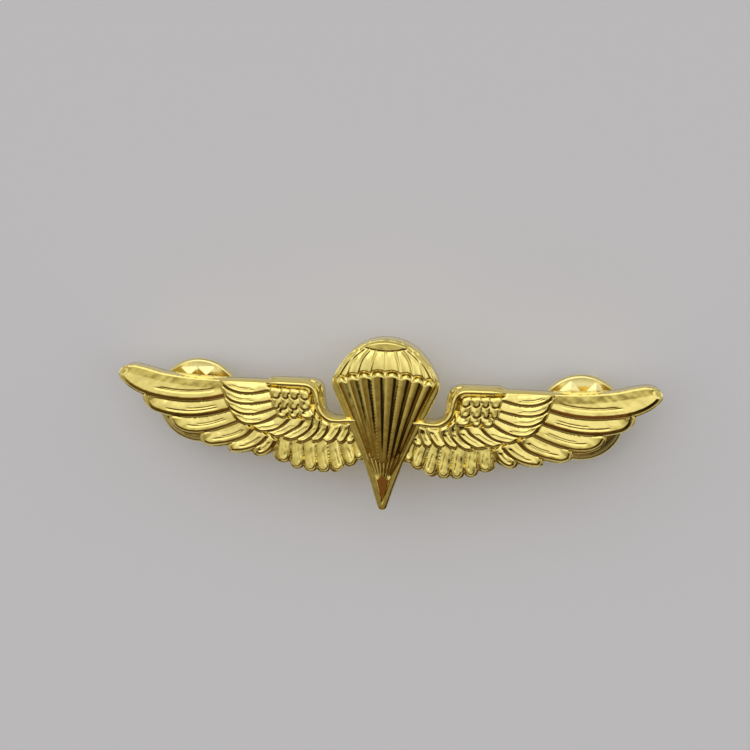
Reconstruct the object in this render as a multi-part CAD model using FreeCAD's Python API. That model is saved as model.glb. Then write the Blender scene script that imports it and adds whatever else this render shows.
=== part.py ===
import FreeCAD, Part
import math
import os

# Parachutist wings badge lying face up on its two clutches.
# X runs along the wings, Y towards the top of the canopy, Z out of the badge's face.
# The origin is under the middle of the badge, where the finger wings of the clutches rest.

V = FreeCAD.Vector
UP = V(0, 0, 1)

# Badge body.
PLATE_T = 1.8            # thickness of the struck plate at its flange
RELIEF_ROOT = 0.9        # depth from which every raised feature grows, inside the plate
HALF_SPAN = 35.0         # centre line to wing tip
CANOPY_TOP = 11.1        # in the badge's own drawing
SPIKE_POINT = -11.5
DRAWING_Y = -(CANOPY_TOP + SPIKE_POINT) / 2      # moves the drawing's middle to the origin

# Posts.
POST_X = 25.2            # distance of each post from the centre line
POST_Y = 0.95 + DRAWING_Y
HEAD_R = 2.0
HEAD_T = 0.3
POCKET_R = 2.2
POCKET_DEPTH = 0.35
ROOT_R = 0.7             # shouldered root that stops the clutch
SHAFT_R = 0.5
NECK_R = 0.38
POINT_R = 0.08
POST_LENGTH = 6.5        # free length below the badge's back
POINT_LENGTH = 0.8
CLUTCH_GAP = 2.75        # badge back to the disc's upper plane
NECK_TOP = 4.15          # neck groove, measured below the badge's back
NECK_LENGTH = 0.6

# Clutch, with depths measured away from the badge from the disc's upper plane.
DISC_R = 5.7
SHEET_T = 0.35
RIM_R = 0.4              # radius of the rolled rim's section
TOOTH_PITCH = 2.3
TOOTH_H = 0.6
TOOTH_HOLLOW = 0.3       # depth of the dimple behind each tooth
EYELET_BORE_R = 0.58
EYELET_R = 0.9
EYELET_FLANGE_R = 1.5
EYELET_FLANGE_T = 0.1
EYELET_FLARE_R = 1.25
RUNNING_GAP = 0.02
CUP_R = 3.4
CUP_T = 0.3
CUP_BOTTOM = 2.6         # depth of the housing cup's open mouth
CUP_LIP_R = 0.25         # radius of the mouth's rolled lip
JAW_DEPTH = 1.675        # depth of the jaws' middle plane
JAW_GAP = 0.12           # half the gap between the two jaws
JAW_BORE_R = 0.56
WING_T = 0.35
WEB_P = 2.23             # distance of each wing's web from the post
WEB_BEND_R = 0.4
EAR_BEND_R = 0.62        # the wing's bend rolls round a bead of the housing
PIVOT_DEPTH = 2.8        # depth of that bead's middle
PIVOT_BEAD_R = 0.4
PIVOT_BEAD_W = 2.4
EAR_ANGLE = 47.0         # flare of the finger wings, degrees from the post
EAR_P = 4.6              # distance of each finger wing's edge from the post
JAW_HALF_W = 1.5
WEB_HALF_W = 0.8
EAR_HALF_W = 2.3
EAR_CORNER_R = 1.3
SPRING_R = 2.9
SPRING_WIRE_R = 0.15
SPRING_DEPTH = 2.15
SPRING_OPEN = 50.0       # opening of the spring ring, degrees
CLUTCHES = {"left": (-POST_X, 3.0), "right": (POST_X, 44.0)}

PIVOT_P = WEB_P + EAR_BEND_R
ear_bend = math.radians(EAR_ANGLE)
ear_start_p = WEB_P + EAR_BEND_R * (1 - math.cos(ear_bend))
ear_start_depth = PIVOT_DEPTH + EAR_BEND_R * math.sin(ear_bend)
ear_length = (EAR_P - ear_start_p) / math.sin(ear_bend)
ear_end_depth = ear_start_depth + ear_length * math.cos(ear_bend)
DISC_Z = ear_end_depth + WING_T / 2 * math.sin(ear_bend)
BACK_Z = DISC_Z + CLUTCH_GAP
FACE_Z = BACK_Z + PLATE_T


# ---- outlines -------------------------------------------------------------------------

def at(point, z=0.0):
    return V(point[0], point[1], z)


def curve(points):
    """A smooth edge through the points."""
    spline = Part.BSplineCurve()
    spline.interpolate([at(p) for p in points])
    return spline.toShape()


def outline(*runs):
    """A closed face: each run of points is a smooth edge, joined to the next by a straight one."""
    edges = []
    last = runs[-1][-1]
    for run in runs:
        if (at(run[0]) - at(last)).Length > 1e-6:
            edges.append(Part.makeLine(at(last), at(run[0])))
        if len(run) == 2:
            edges.append(Part.makeLine(at(run[0]), at(run[1])))
        elif len(run) > 2:
            edges.append(curve(run))
        last = run[-1]
    return Part.Face(Part.Wire(edges))


def raised(face, height):
    """A feature that stands the given height above the plate's face."""
    lifted = face.copy()
    lifted.translate(V(0, 0, FACE_Z - RELIEF_ROOT))
    return lifted.extrude(V(0, 0, RELIEF_ROOT + height))


def mirrored(shape):
    return shape.mirror(V(0, 0, 0), V(1, 0, 0))


def group(solids):
    first = solids[0].fuse(solids[1:]) if len(solids) > 1 else solids[0]
    return first.removeSplitter()


# ---- badge body -----------------------------------------------------------------------

def wing_plate():
    """The right wing's plate, with the scalloped edge under its feathers."""
    return outline(
        [(1.0, 0.6), (5.4, 0.55)],
        [(5.4, 0.55), (6.7, 0.6), (7.6, 1.3), (7.85, 2.5), (7.95, 3.7), (8.4, 4.8), (9.5, 5.3)],
        [(9.5, 5.3), (14.6, 5.3)],
        [(14.6, 5.3), (15.4, 4.95)],
        [(15.4, 4.95), (21.3, 4.9)],
        [(21.3, 4.9), (25, 5.0), (29, 5.4), (32.3, 6.1), (34.0, 6.2), (HALF_SPAN, 5.2),
         (34.2, 4.05), (31.8, 2.35)],
        [(31.8, 2.35), (31.5, 1.2), (30.4, 0.2), (28.2, -0.4)],
        [(28.2, -0.4), (27.9, -1.5), (26.4, -2.6), (24.2, -2.85)],
        [(24.2, -2.85), (23.9, -3.7), (22.5, -4.2), (20.5, -3.95)],
        [(20.5, -3.95), (20.0, -4.8), (18.7, -4.9), (17.3, -4.6)],
        [(17.3, -4.6), (16.4, -5.2), (15.3, -4.95), (14.4, -4.4)],
        [(14.4, -4.4), (14.1, -5.5), (13.2, -5.9), (12.3, -5.7)],
        [(12.3, -5.7), (11.8, -6.5), (11.1, -6.65), (10.5, -6.3)],
        [(10.5, -6.3), (9.9, -6.9), (9.4, -6.95), (8.7, -6.6)],
        [(8.7, -6.6), (8.1, -6.95), (7.6, -6.95), (7.0, -6.5)],
        [(7.0, -6.5), (6.3, -6.8), (5.6, -6.5), (5.1, -5.8)],
        [(5.1, -5.8), (4.5, -6.0), (3.9, -5.7), (3.4, -5.1)],
        [(3.4, -5.1), (1.0, -5.0)],
    )


def canopy_points(inset, foot):
    """The canopy's rim from its left foot over the top to its right foot."""
    half = [(2.0, 10.8), (3.7, 9.95), (5.1, 8.6), (6.1, 7.15), (6.75, 5.8)]
    scale = (6.75 - inset) / 6.75
    right = [(x * scale, foot + (y - foot) * scale) for x, y in half]
    left = [(-x, y) for x, y in reversed(right)]
    return left + [(0.0, foot + (CANOPY_TOP - foot) * scale)] + right


def parachute_plate():
    """The flange round the parachute, down to the rounded point of the spike."""
    rim = canopy_points(0.0, 5.8)
    return outline(
        rim,
        [(6.75, 5.8), (6.9, 5.0), (6.4, 3.6)],
        [(6.4, 3.6), (2.55, -5.0)],
        [(2.55, -5.0), (1.45, -8.2)],
        [(1.45, -8.2), (0.65, -10.8)],
        [(0.65, -10.8), (0.0, SPIKE_POINT), (-0.65, -10.8)],
        [(-0.65, -10.8), (-1.45, -8.2)],
        [(-1.45, -8.2), (-2.55, -5.0)],
        [(-2.55, -5.0), (-6.4, 3.6)],
        [(-6.4, 3.6), (-6.9, 5.0), (-6.75, 5.8)],
    )


def primaries():
    """The six long outer feathers, each a step below the one above it."""
    top, step = 0.45, 0.05
    faces = [
        outline([(20.8, 2.5), (25, 1.75), (29, 1.95), (32.5, 2.9), (34.7, 5.1), (33.6, 5.9),
                 (30, 5.3), (25, 4.8)], [(25, 4.8), (20.8, 4.75)]),
        outline([(20.1, 0.6), (24, -0.3), (28, -0.3), (30.4, 0.3), (31.5, 1.9)],
                [(30.8, 2.7), (20.4, 3.1)]),
        outline([(19.0, -0.85), (22, -1.95), (25, -2.45), (26.9, -1.9), (28.0, -0.6)],
                [(27.5, 0.2), (19.6, 1.1)]),
        outline([(17.0, -1.75), (19.5, -3.3), (22.5, -3.95), (24.0, -3.0)],
                [(23.2, -2.0), (19.0, -0.4)]),
        outline([(15.2, -2.6), (17.5, -4.3), (19.3, -4.7), (20.3, -4.2)],
                [(19.6, -3.2), (17.0, -1.4)]),
        outline([(14.0, -3.3), (15.3, -4.7), (16.4, -5.0), (17.0, -4.3)],
                [(16.8, -3.6), (15.2, -2.1)]),
    ]
    return [raised(face, top - step * i) for i, face in enumerate(faces)]


def coverts():
    """The twelve shorter feathers that lie over the primaries, from the leading edge inwards."""
    top, step = 0.85, 0.04
    faces = [
        outline([(15, 3.55), (17.5, 3.05), (20.2, 3.5), (21.4, 4.5)], [(21.2, 4.75), (14.8, 4.7)]),
        outline([(14.7, 2.15), (17.5, 1.7), (19.8, 1.95), (21.2, 4.2)], [(20.6, 4.5), (14.9, 3.9)]),
        outline([(14.3, 1.15), (17.5, 0.3), (19.6, 0.75), (20.9, 2.9)], [(20.2, 3.2), (14.6, 2.5)]),
        outline([(13.9, 0.3), (15.9, -0.7), (18.3, -0.9), (20.3, 1.2)], [(19.5, 1.4), (14.1, 1.5)]),
        outline([(12.2, 0.0), (14, -1.5), (16, -1.85), (17.4, -0.9)], [(17.0, 0.0), (13.9, 0.8)]),
        outline([(10.2, 0.0), (12, -1.6), (14, -2.45), (15.3, -1.8)], [(14.6, -1.0), (12.6, 0.4)]),
        outline([(9.0, 0.4), (9.9, -1.6), (11.6, -2.75), (13.3, -2.5)], [(12.6, -1.4), (10.4, 0.5)]),
        outline([(8.1, -0.1), (8.9, -1.9), (10.2, -2.9), (11.4, -3.0)], [(10.9, -2.0), (9.1, 0.6)]),
        outline([(7.0, -0.2), (7.5, -1.9), (8.3, -2.75), (9.2, -3.0)], [(9.3, -2.2), (8.2, 0.3)]),
        outline([(5.3, 0.0), (5.7, -1.5), (6.3, -2.4), (7.1, -2.85)], [(7.9, -2.3), (7.1, 0.1)]),
        outline([(4.1, 0.2), (4.3, -1.2), (4.8, -2.3), (5.4, -2.95)], [(6.1, -2.3), (5.4, 0.2)]),
        outline([(3.4, -1.4), (3.7, -2.2), (4.3, -2.85)], [(4.8, -2.2), (4.3, -0.8)]),
    ]
    return [raised(face, top - step * i) for i, face in enumerate(faces)]


def hanging_row():
    """The short feathers that hang under the coverts: a rounded blade at each place."""
    tops = [3.9, 5.2, 6.7, 8.2, 9.6, 11.3, 13.0]
    tips = [(3.2, -4.9), (4.5, -5.75), (6.1, -6.55), (7.8, -6.75), (9.5, -6.75), (11.3, -6.45),
            (13.2, -5.7)]
    width, height, step = 1.55, 0.16, 0.012
    blades = []
    for i, (top_x, (x, y)) in enumerate(zip(tops, tips)):
        half = width / 2
        face = outline([(top_x - half, -2.4), (x - half, y + 1.0)],
                       [(x - half, y + 1.0), (x - 0.6 * half, y + 0.2), (x + 0.1, y),
                        (x + 0.8 * half, y + 0.5), (x + half, y + 1.2)],
                       [(x + half, y + 1.2), (top_x + half, -2.4)])
        blades.append(raised(face, height + step * i))
    return blades


def scales():
    """Three rows of small round-cornered scales behind the leading-edge bar."""
    rows = [
        (4.15, 2.65, 1.02, [9.8, 11.1, 12.35, 13.45, 14.85]),
        (2.75, 1.3, 0.98, [9.7, 11.1, 12.5, 13.5, 14.6]),
        (1.4, 0.2, 0.94, [9.2, 11.1, 12.5, 14.0]),
    ]
    groove = 0.08
    cells = []
    for top, bottom, height, edges in rows:
        for x0, x1 in zip(edges, edges[1:]):
            w = x1 - x0 - groove
            h = top - bottom
            face = outline([(x0, top), (x0 + w, top)],
                           [(x0 + w, top), (x0 + 0.93 * w, top - 0.6 * h),
                            (x0 + 0.6 * w, bottom + 0.08 * h), (x0, bottom)])
            cells.append(raised(face, height))
    return cells


def leading_bar():
    """The bead that steps up from the parachute to the top of the wing."""
    face = outline(
        [(4.4, 0.8), (6.5, 0.55), (7.9, 1.2), (8.4, 2.5), (8.6, 4.0), (9.4, 5.0), (11.0, 5.1)],
        [(11.0, 5.1), (15.3, 5.0)],
        [(15.3, 4.8), (11.0, 4.5)],
        [(11.0, 4.5), (9.8, 4.25), (9.25, 3.2), (9.0, 1.9), (8.4, 0.75), (7.0, 0.0), (4.4, 0.2)],
    )
    return [raised(face, 1.1)]


def canopy():
    """The domed canopy down to its scalloped skirt."""
    rim_inset, foot_y, dome_r, dome_y, dome_top = 0.4, 5.8, 13.0, 7.0, 1.95
    scallop = 0.25
    rim = canopy_points(rim_inset, foot_y)
    cusps = [rim[-1], (5.05, 6.05), (3.6, 6.5), (1.95, 6.75), (0.0, 6.95)]
    skirt = []
    right_to_left = cusps + [(-x, y) for x, y in reversed(cusps[:-1])]
    for (x0, y0), (x1, y1) in zip(right_to_left, right_to_left[1:]):
        skirt.append([(x0, y0), ((x0 + x1) / 2, (y0 + y1) / 2 + scallop), (x1, y1)])
    face = outline(rim, *skirt)
    block = raised(face, dome_top + 1.0)
    dome = Part.makeSphere(dome_r, V(0, dome_y, FACE_Z + dome_top - dome_r))
    return [block.common(dome)]


def flutes():
    """Eight tapered ribs that run from the skirt to one point low on the spike."""
    count, half_fan, apex_y, head_y, tail_y = 8, 21.2, -10.7, 6.6, -6.5
    valley, crown = 0.45, 0.6
    floor = FACE_Z - RELIEF_ROOT
    angles = [math.radians(half_fan * (2 * i / count - 1)) for i in range(count + 1)]

    def section(y):
        reach = y - apex_y
        shrink = reach / (head_y - apex_y)
        low = FACE_Z + valley * shrink
        xs = [reach * math.tan(angle) for angle in angles]
        edges = [Part.Arc(V(x0, y, low), V((x0 + x1) / 2, y, low + crown * shrink),
                          V(x1, y, low)).toShape() for x0, x1 in zip(xs, xs[1:])]
        corners = [V(xs[-1], y, low), V(xs[-1], y, floor), V(xs[0], y, floor), V(xs[0], y, low)]
        return Part.Wire(edges + [Part.makeLine(p, q) for p, q in zip(corners, corners[1:])])

    fan = Part.makeLoft([section(head_y), section(tail_y)], True, True)
    zone = outline([(0.0, apex_y), (6.35, 5.3)], [(6.35, 5.3), (5.6, 6.1)],
                   [(-5.6, 6.1), (-6.35, 5.3)])
    spike = outline([(0.0, apex_y), (1.5, -6.8)], [(1.5, -6.8), (-1.5, -6.8)])
    return [fan.common(raised(zone, valley + crown)), raised(spike, 0.22)]


def post_pockets():
    return [Part.makeCylinder(POCKET_R, POCKET_DEPTH, V(x, POST_Y, BACK_Z))
            for x, _ in CLUTCHES.values()]


def badge_body():
    plate = wing_plate()
    plate.translate(V(0, 0, BACK_Z))
    right_plate = plate.extrude(V(0, 0, PLATE_T))
    flange = parachute_plate()
    flange.translate(V(0, 0, BACK_Z))
    middle_plate = flange.extrude(V(0, 0, PLATE_T))
    feathers = group(primaries() + coverts() + hanging_row() + scales() + leading_bar())
    right = right_plate.fuse(feathers)
    middle = middle_plate.fuse(flutes()).fuse(canopy())
    body = middle.fuse([right, mirrored(right)])
    body.translate(V(0, DRAWING_Y, 0))
    return body.cut(post_pockets())


# ---- posts ----------------------------------------------------------------------------

def post(x):
    """A nail turned in one piece: head, shouldered root, shaft with a neck, and point."""
    head_z = BACK_Z + POCKET_DEPTH
    shoulder = CLUTCH_GAP - EYELET_FLANGE_T - 2 * RUNNING_GAP
    taper = SHAFT_R - NECK_R
    radii = [
        (0.0, head_z), (HEAD_R, head_z), (HEAD_R, head_z - HEAD_T), (ROOT_R, head_z - HEAD_T),
        (ROOT_R, BACK_Z - shoulder), (SHAFT_R, BACK_Z - shoulder), (SHAFT_R, BACK_Z - NECK_TOP),
        (NECK_R, BACK_Z - NECK_TOP - taper), (NECK_R, BACK_Z - NECK_TOP - NECK_LENGTH + taper),
        (SHAFT_R, BACK_Z - NECK_TOP - NECK_LENGTH), (SHAFT_R, BACK_Z - POST_LENGTH + POINT_LENGTH),
        (POINT_R, BACK_Z - POST_LENGTH), (0.0, BACK_Z - POST_LENGTH),
    ]
    return turned(radii, x)


def turned(radii, x):
    """A solid of revolution about the post's axis from its half section."""
    points = [V(x + r, POST_Y, z) for r, z in radii]
    face = Part.Face(Part.makePolygon(points + [points[0]]))
    return face.revolve(V(x, POST_Y, 0), UP, 360)


def solder_ring(x):
    bottom = BACK_Z + POCKET_DEPTH - HEAD_T
    radii = [(HEAD_R, bottom), (POCKET_R, bottom), (POCKET_R, bottom + HEAD_T),
             (HEAD_R, bottom + HEAD_T)]
    return turned(radii, x)


# ---- clutch ---------------------------------------------------------------------------
# Each piece is drawn about the post's axis with depth 0 on the disc's upper plane, the wings
# along X, and is then turned and moved to its post.

def seat(shape, x, turn):
    shape.rotate(V(0, 0, 0), UP, turn)
    shape.translate(V(x, POST_Y, DISC_Z))
    return shape


def ring_section(radii):
    points = [V(r, 0, -depth) for r, depth in radii]
    face = Part.Face(Part.makePolygon(points + [points[0]]))
    return face.revolve(V(0, 0, 0), UP, 360)


def tooth(x, y, half, height, base_depth):
    corners = [V(x + sx * half, y + sy * half, -base_depth)
               for sx, sy in ((-1, -1), (1, -1), (1, 1), (-1, 1))]
    tip = V(x, y, height - base_depth)
    faces = [Part.Face(Part.makePolygon(corners + [corners[0]]))]
    for a, b in zip(corners, corners[1:] + corners[:1]):
        faces.append(Part.Face(Part.makePolygon([a, b, tip, a])))
    return Part.makeSolid(Part.makeShell(faces))


def tooth_places():
    near, far = TOOTH_PITCH / 2, 1.5 * TOOTH_PITCH
    for sx in (-1, 1):
        for sy in (-1, 1):
            yield sx * near, sy * far
            yield sx * far, sy * near


def clutch_base():
    """The stamped disc with its rolled rim and eight hollow pyramid teeth."""
    rim_circle = DISC_R - RIM_R
    disc = Part.makeCylinder(rim_circle, SHEET_T, V(0, 0, -SHEET_T))
    rim = Part.makeTorus(rim_circle, RIM_R)
    teeth = [tooth(x, y, TOOTH_PITCH / 2, TOOTH_H, 0.0) for x, y in tooth_places()]
    hollows = [tooth(x, y, TOOTH_PITCH / 2 - SHEET_T, TOOTH_HOLLOW + SHEET_T, SHEET_T)
               for x, y in tooth_places()]
    hole = Part.makeCylinder(EYELET_R + RUNNING_GAP, 2 * SHEET_T, V(0, 0, -1.5 * SHEET_T))
    return disc.fuse([rim] + teeth).cut(hollows + [hole])


def clutch_eyelet():
    """The flanged tube that rides on the post and clamps the disc to the housing."""
    top = -RUNNING_GAP - EYELET_FLANGE_T
    under = SHEET_T + CUP_T + RUNNING_GAP
    return ring_section([
        (EYELET_BORE_R, top), (EYELET_FLANGE_R, top), (EYELET_FLANGE_R, -RUNNING_GAP),
        (EYELET_R, -RUNNING_GAP), (EYELET_R, under), (EYELET_FLARE_R, under),
        (EYELET_FLARE_R, under + EYELET_FLANGE_T), (EYELET_BORE_R, under + EYELET_FLANGE_T),
    ])


def clutch_housing():
    """The drawn cup under the disc, open away from the badge, with a rolled lip."""
    hole_r = EYELET_R + RUNNING_GAP
    cup = ring_section([
        (hole_r, SHEET_T), (CUP_R, SHEET_T), (CUP_R, CUP_BOTTOM), (CUP_R - CUP_T, CUP_BOTTOM),
        (CUP_R - CUP_T, SHEET_T + CUP_T), (hole_r, SHEET_T + CUP_T),
    ])
    lip = Part.makeTorus(CUP_R - CUP_T + CUP_LIP_R, CUP_LIP_R, V(0, 0, -CUP_BOTTOM))
    beads = [Part.makeCylinder(PIVOT_BEAD_R, PIVOT_BEAD_W,
                               V(side * PIVOT_P, -PIVOT_BEAD_W / 2, -PIVOT_DEPTH), V(0, 1, 0))
             for side in (-1, 1)]
    return cup.fuse([lip] + beads)


def wing_profile():
    """Side view of one wing's bent strip: jaw, web and flared ear."""
    half = WING_T / 2

    def side(offset):
        bend = WEB_BEND_R + offset
        flare = EAR_BEND_R - offset
        bend_c = (WEB_P - WEB_BEND_R, JAW_DEPTH + WEB_BEND_R)
        flare_c = (WEB_P + EAR_BEND_R, PIVOT_DEPTH)
        turn = ear_bend
        middle = ear_bend / 2
        corner = math.radians(45)
        p0 = V(JAW_GAP, 0, -(JAW_DEPTH - offset))
        p1 = V(bend_c[0], 0, -(bend_c[1] - bend))
        p2 = V(bend_c[0] + bend * math.sin(corner), 0, -(bend_c[1] - bend * math.cos(corner)))
        p3 = V(bend_c[0] + bend, 0, -bend_c[1])
        p4 = V(flare_c[0] - flare, 0, -flare_c[1])
        p5 = V(flare_c[0] - flare * math.cos(middle), 0, -(flare_c[1] + flare * math.sin(middle)))
        p6 = V(flare_c[0] - flare * math.cos(turn), 0, -(flare_c[1] + flare * math.sin(turn)))
        p7 = V(p6.x + ear_length * math.sin(turn), 0, p6.z - ear_length * math.cos(turn))
        edges = [Part.makeLine(p0, p1), Part.Arc(p1, p2, p3).toShape(), Part.makeLine(p3, p4),
                 Part.Arc(p4, p5, p6).toShape(), Part.makeLine(p6, p7)]
        return edges, p0, p7

    outer, outer_start, outer_end = side(half)
    inner, inner_start, inner_end = side(-half)
    ends = [Part.makeLine(outer_end, inner_end), Part.makeLine(inner_start, outer_start)]
    return Part.Face(Part.Wire(Part.__sortEdges__(outer + ends + inner)))


def wing_plan():
    """Top view of one wing: jaw, narrow web and round-cornered ear."""
    web_in, web_out, ear_in = 1.55, 2.7, 3.4
    reach = EAR_P + WING_T
    corner = EAR_CORNER_R
    face = outline(
        [(0, -JAW_HALF_W), (web_in, -JAW_HALF_W)],
        [(web_in, -WEB_HALF_W), (web_out, -WEB_HALF_W)],
        [(ear_in, -EAR_HALF_W), (reach - corner, -EAR_HALF_W)],
        [(reach - corner, -EAR_HALF_W), (reach - 0.3 * corner, -EAR_HALF_W + 0.3 * corner),
         (reach, -EAR_HALF_W + corner)],
        [(reach, EAR_HALF_W - corner), (reach - 0.3 * corner, EAR_HALF_W - 0.3 * corner),
         (reach - corner, EAR_HALF_W)],
        [(reach - corner, EAR_HALF_W), (ear_in, EAR_HALF_W)],
        [(web_out, WEB_HALF_W), (web_in, WEB_HALF_W)],
        [(web_in, JAW_HALF_W), (0, JAW_HALF_W)],
    )
    depth = DISC_Z + WING_T
    prism = face.extrude(V(0, 0, depth))
    prism.translate(V(0, 0, -depth))
    return prism


def clutch_wing(side):
    """One finger wing with its jaw: side 0 lies towards +X of the clutch, side 1 opposite."""
    strip = wing_profile()
    strip.translate(V(0, -EAR_HALF_W, 0))
    strip = strip.extrude(V(0, 2 * EAR_HALF_W, 0))
    bore = Part.makeCylinder(JAW_BORE_R, DISC_Z, V(0, 0, -DISC_Z))
    wing = strip.common(wing_plan()).cut(bore)
    wing.rotate(V(0, 0, 0), UP, 180 * side)
    return wing


def clutch_spring():
    """The open wire ring inside the cup that closes the jaws."""
    start = 90 + SPRING_OPEN / 2
    sweep = 360 - SPRING_OPEN
    circle = Part.makeCircle(SPRING_WIRE_R, V(SPRING_R, 0, -SPRING_DEPTH), V(0, 1, 0))
    ring = Part.Face(Part.Wire(circle)).revolve(V(0, 0, 0), UP, sweep)
    ring.rotate(V(0, 0, 0), UP, start)
    return ring


def write(name, shape):
    if not shape.isValid():
        raise ValueError(name + " is not a valid shape")
    solids = shape.Solids
    whole = solids[0] if len(solids) == 1 else Part.makeCompound(solids)
    whole.exportStep("parts/" + name + ".step")
    print(name, len(solids), "solid", round(whole.Volume, 3), "mm3")


os.makedirs("parts", exist_ok=True)
write("badge_body", badge_body())
for side_name, (post_x, angle) in CLUTCHES.items():
    clutch = side_name + "_clutch_"
    write(side_name + "_post", post(post_x))
    write(side_name + "_solder", solder_ring(post_x))
    write(clutch + "base", seat(clutch_base(), post_x, angle))
    write(clutch + "eyelet", seat(clutch_eyelet(), post_x, angle))
    write(clutch + "housing", seat(clutch_housing(), post_x, angle))
    write(clutch + "wing_a", seat(clutch_wing(0), post_x, angle))
    write(clutch + "wing_b", seat(clutch_wing(1), post_x, angle))
    write(clutch + "spring", seat(clutch_spring(), post_x, angle))
print("back z", BACK_Z, "face z", FACE_Z, "disc z", DISC_Z)
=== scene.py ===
import math

import bpy
import numpy as np
from mathutils import Matrix, Vector
from mathutils.geometry import tessellate_polygon


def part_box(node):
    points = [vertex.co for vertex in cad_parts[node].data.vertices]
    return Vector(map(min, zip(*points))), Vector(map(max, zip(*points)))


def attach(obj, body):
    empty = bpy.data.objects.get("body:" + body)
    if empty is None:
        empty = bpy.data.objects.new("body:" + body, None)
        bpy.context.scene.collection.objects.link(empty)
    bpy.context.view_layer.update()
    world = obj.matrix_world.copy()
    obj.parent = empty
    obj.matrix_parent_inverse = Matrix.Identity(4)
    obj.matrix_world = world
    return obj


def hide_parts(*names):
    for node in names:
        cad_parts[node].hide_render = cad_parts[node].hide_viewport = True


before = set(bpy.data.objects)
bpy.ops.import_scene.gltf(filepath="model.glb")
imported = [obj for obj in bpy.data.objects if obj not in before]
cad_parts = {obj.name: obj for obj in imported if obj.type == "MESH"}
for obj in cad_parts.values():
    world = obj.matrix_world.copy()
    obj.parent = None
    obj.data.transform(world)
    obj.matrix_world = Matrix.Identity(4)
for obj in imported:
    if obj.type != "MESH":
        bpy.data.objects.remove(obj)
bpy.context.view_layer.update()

# Lengths are in millimetres, in the badge's own drawing, until an object is placed.
MM = 0.001
PLATE_T = 1.8
BODY_LOW, BODY_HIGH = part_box("badge_body")
BACK_Z = BODY_LOW[2] / MM
FACE_Z = BACK_Z + PLATE_T
RELIEF_TOP = BODY_HIGH[2] / MM - FACE_Z
DRAWING_Y = 0.2          # the drawing's origin lies this much above the object's
DISC_TURN = {"left": 3.0, "right": 44.0}      # degrees each clutch disc is turned on its post

CURVE_STEP = 0.1         # spacing of points along a sampled curve
SAME_POINT = 1e-6        # points nearer than this are one point
WING_GRID = 0.062        # spacing of the relief's points
CANOPY_GRID = 0.05
SOFTEN = 0.042           # how far plating rounds every crease
RIM_R, RIM_DROP = 0.22, 0.16                  # rounding of a relief's outer edge
TOP_CLEARANCE = 0.01     # the relief stops this far below the body's highest point
WING_WAVES, CANOPY_WAVES = 0.0011, 0.0004     # strength of each surface's unevenness

BEVEL_SLOPE = 0.33       # fall of a feather's face towards its free edge
SHAFT_W = 0.075          # half width of the fine line beside a feather's shaft
SHAFT_FADE = 0.08        # part of the edge's length over which such a line fades out

WALL_DEPTH = 0.35        # depth below the plate's face of the first ring of the side wall
SEAM = 0.01              # the wings' back lies this much above the parachute's
POCKET_SIDES = 96
SHARP_DEG = 40           # edges steeper than this stay crisp
FLAT_DOWN = -0.9999      # normals below this belong to a flat back


# ---- curves in the plane --------------------------------------------------------------

def smooth(points):
    """A centripetal curve through the points, sampled about every CURVE_STEP."""
    p = np.array(points, float)
    if len(p) == 2:
        return p
    # one point beyond each end, so that the curve reaches both
    ext = np.vstack([2 * p[0] - p[1], p, 2 * p[-1] - p[-2]])
    out = []
    for i in range(len(p) - 1):
        a, b, c, d = ext[i:i + 4]
        t0 = 0.0
        t1 = t0 + np.sqrt(np.linalg.norm(b - a))
        t2 = t1 + np.sqrt(np.linalg.norm(c - b))
        t3 = t2 + np.sqrt(np.linalg.norm(d - c))
        n = max(2, int(np.linalg.norm(c - b) / CURVE_STEP))
        t = np.linspace(t1, t2, n, endpoint=False)[:, None]
        ab = (t1 - t) / (t1 - t0) * a + (t - t0) / (t1 - t0) * b
        bc = (t2 - t) / (t2 - t1) * b + (t - t1) / (t2 - t1) * c
        cd = (t3 - t) / (t3 - t2) * c + (t - t2) / (t3 - t2) * d
        abc = (t2 - t) / (t2 - t0) * ab + (t - t0) / (t2 - t0) * bc
        bcd = (t3 - t) / (t3 - t1) * bc + (t - t1) / (t3 - t1) * cd
        out.append((t2 - t) / (t2 - t1) * abc + (t - t1) / (t2 - t1) * bcd)
    return np.vstack(out + [p[-1:]])


def without_repeats(line):
    """The line with each point that repeats the one before it left out."""
    keep = np.r_[True, np.linalg.norm(np.diff(line, axis=0), axis=1) > SAME_POINT]
    return line[keep]


def joined(*runs):
    """A closed polygon from runs of points, each a smooth curve of its own."""
    line = without_repeats(np.vstack([smooth(run) for run in runs]))
    if np.linalg.norm(line[0] - line[-1]) < SAME_POINT:
        line = line[:-1]
    return line


def inside(polygon, x, y):
    """Even-odd test of the points against a closed polygon."""
    odd = np.zeros(x.shape, bool)
    for (x0, y0), (x1, y1) in zip(polygon, np.roll(polygon, -1, axis=0)):
        if y0 == y1:
            continue
        crosses = (y0 > y) != (y1 > y)
        odd ^= crosses & (x < (x1 - x0) * (y - y0) / (y1 - y0) + x0)
    return odd


def nearest(line, x, y):
    """Distance to a polyline, and how far along it the nearest point is, from 0 to 1."""
    best = np.full(x.shape, np.inf)
    along = np.zeros(x.shape)
    lengths = np.linalg.norm(np.diff(line, axis=0), axis=1)
    starts = np.r_[0, np.cumsum(lengths)]
    for a, b, length, start in zip(line[:-1], line[1:], lengths, starts):
        dx, dy = b - a
        t = np.clip(((x - a[0]) * dx + (y - a[1]) * dy) / (length * length), 0, 1)
        d = (x - a[0] - t * dx) ** 2 + (y - a[1] - t * dy) ** 2
        closer = d < best
        best = np.where(closer, d, best)
        along = np.where(closer, start + t * length, along)
    return np.sqrt(best), along / starts[-1]


def shoulder(e, radius):
    """A quarter-round rise from 0 at the edge to 1 at the given distance in."""
    t = np.clip(e / radius, 0, 1)
    return np.sqrt(1 - (1 - t) ** 2)


def ease(t):
    """Rises smoothly from 0 to 1 as t does."""
    t = np.clip(t, 0, 1)
    return t * t * (3 - 2 * t)


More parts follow.
